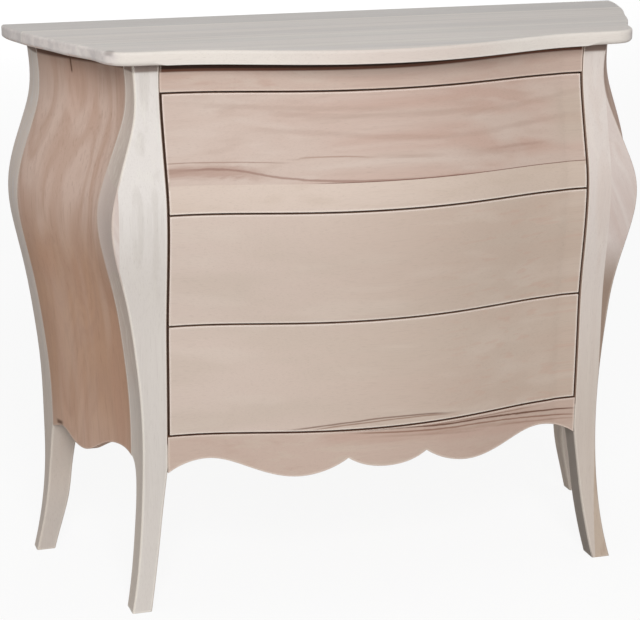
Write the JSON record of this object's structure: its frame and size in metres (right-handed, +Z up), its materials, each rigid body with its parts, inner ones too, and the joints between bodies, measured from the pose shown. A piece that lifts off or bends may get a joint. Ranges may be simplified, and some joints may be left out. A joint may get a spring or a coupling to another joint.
{
  "type": "bombe chest",
  "caption": "Free-standing bombe chest of full-width sliding drawers in bare wood, with a bowed front, swelling sides, splayed legs and a shaped top.",
  "frame": {"origin": "on the floor, under the middle of the box round the whole chest", "axes": "+X to the right of someone facing the drawers, +Y from the drawers to the back, +Z up"},
  "size_m": [1.0174, 0.38, 0.85],
  "materials": {
    "apron": "bare, sanded",
    "back_panel": "bare plywood",
    "back_panel_screws": "satin",
    "bottom_front_rail": "bare, planed",
    "drawer_stops": "bare, planed",
    "front_left_bulge_block": "bare, sanded",
    "front_left_post": "bare, sanded",
    "front_right_bulge_block": "bare, sanded",
    "front_right_foot_block": "bare, sanded",
    "front_right_post": "bare, sanded",
    "left_lower_drawer_runner": "bare, planed",
    "left_middle_drawer_runner": "bare, planed",
    "left_side_panel": "bare veneer",
    "left_top_rail": "bare, planed",
    "left_upper_drawer_runner": "bare, planed",
    "lower_divider_rail": "bare, planed",
    "lower_drawer_back": "bare, planed",
    "lower_drawer_bottom": "bare plywood",
    "lower_drawer_front": "bare, sanded",
    "lower_drawer_left_side": "bare, planed",
    "lower_drawer_right_side": "bare, planed",
    "middle_drawer_back": "bare, planed",
    "middle_drawer_bottom": "bare plywood",
    "middle_drawer_front": "bare, sanded",
    "middle_drawer_left_side": "bare, planed",
    "middle_drawer_right_side": "bare, planed",
    "rear_bottom_rail": "bare, planed",
    "rear_left_bulge_block": "bare, sanded",
    "rear_left_post": "bare, sanded",
    "rear_lower_rail": "bare, planed",
    "rear_right_bulge_block": "bare, sanded",
    "rear_right_post": "bare, sanded",
    "rear_top_rail": "bare, planed",
    "rear_upper_rail": "bare, planed",
    "right_lower_drawer_runner": "bare, planed",
    "right_middle_drawer_runner": "bare, planed",
    "right_side_panel": "bare veneer",
    "right_top_rail": "bare, planed",
    "right_upper_drawer_runner": "bare, planed",
    "top_front_board": "bare, sanded",
    "top_front_rail": "bare, sanded",
    "top_glue_blocks": "bare, planed",
    "top_middle_board": "bare, sanded",
    "top_rear_board": "bare, sanded",
    "top_screws": "satin",
    "upper_divider_rail": "bare, planed",
    "upper_drawer_back": "bare, planed",
    "upper_drawer_bottom": "bare plywood",
    "upper_drawer_front_board": "bare, sanded",
    "upper_drawer_front_strip": "bare, sanded",
    "upper_drawer_left_side": "bare, planed",
    "upper_drawer_right_side": "bare, planed"
  },
  "bodies": {
    "carcass": {"apron": "apron", "back_panel": "back_panel", "back_panel_screws": "back_panel_screws", "bottom_front_rail": "bottom_front_rail", "drawer_stops": "drawer_stops", "front_left_bulge_block": "front_left_bulge_block", "front_left_post": "front_left_post", "front_right_bulge_block": "front_right_bulge_block", "front_right_foot_block": "front_right_foot_block", "front_right_post": "front_right_post", "left_lower_drawer_runner": "left_lower_drawer_runner", "left_middle_drawer_runner": "left_middle_drawer_runner", "left_side_panel": "left_side_panel", "left_top_rail": "left_top_rail", "left_upper_drawer_runner": "left_upper_drawer_runner", "lower_divider_rail": "lower_divider_rail", "rear_bottom_rail": "rear_bottom_rail", "rear_left_bulge_block": "rear_left_bulge_block", "rear_left_post": "rear_left_post", "rear_lower_rail": "rear_lower_rail", "rear_right_bulge_block": "rear_right_bulge_block", "rear_right_post": "rear_right_post", "rear_top_rail": "rear_top_rail", "rear_upper_rail": "rear_upper_rail", "right_lower_drawer_runner": "right_lower_drawer_runner", "right_middle_drawer_runner": "right_middle_drawer_runner", "right_side_panel": "right_side_panel", "right_top_rail": "right_top_rail", "right_upper_drawer_runner": "right_upper_drawer_runner", "top_front_board": "top_front_board", "top_front_rail": "top_front_rail", "top_glue_blocks": "top_glue_blocks", "top_middle_board": "top_middle_board", "top_rear_board": "top_rear_board", "top_screws": "top_screws", "upper_divider_rail": "upper_divider_rail"},
    "lower_drawer": {"lower_drawer_back": "lower_drawer_back", "lower_drawer_bottom": "lower_drawer_bottom", "lower_drawer_front": "lower_drawer_front", "lower_drawer_left_side": "lower_drawer_left_side", "lower_drawer_right_side": "lower_drawer_right_side"},
    "middle_drawer": {"middle_drawer_back": "middle_drawer_back", "middle_drawer_bottom": "middle_drawer_bottom", "middle_drawer_front": "middle_drawer_front", "middle_drawer_left_side": "middle_drawer_left_side", "middle_drawer_right_side": "middle_drawer_right_side"},
    "upper_drawer": {"upper_drawer_back": "upper_drawer_back", "upper_drawer_bottom": "upper_drawer_bottom", "upper_drawer_front_board": "upper_drawer_front_board", "upper_drawer_front_strip": "upper_drawer_front_strip", "upper_drawer_left_side": "upper_drawer_left_side", "upper_drawer_right_side": "upper_drawer_right_side"}
  },
  "joints": [
    {"name": "upper_drawer_slide", "type": "slide", "parent": "carcass", "child": "upper_drawer", "axis": [0, -1, 0], "range_m": [0, 0.17]},
    {"name": "middle_drawer_slide", "type": "slide", "parent": "carcass", "child": "middle_drawer", "axis": [0, -1, 0], "range_m": [0, 0.17]},
    {"name": "lower_drawer_slide", "type": "slide", "parent": "carcass", "child": "lower_drawer", "axis": [0, -1, 0], "range_m": [0, 0.17]}
  ]
}
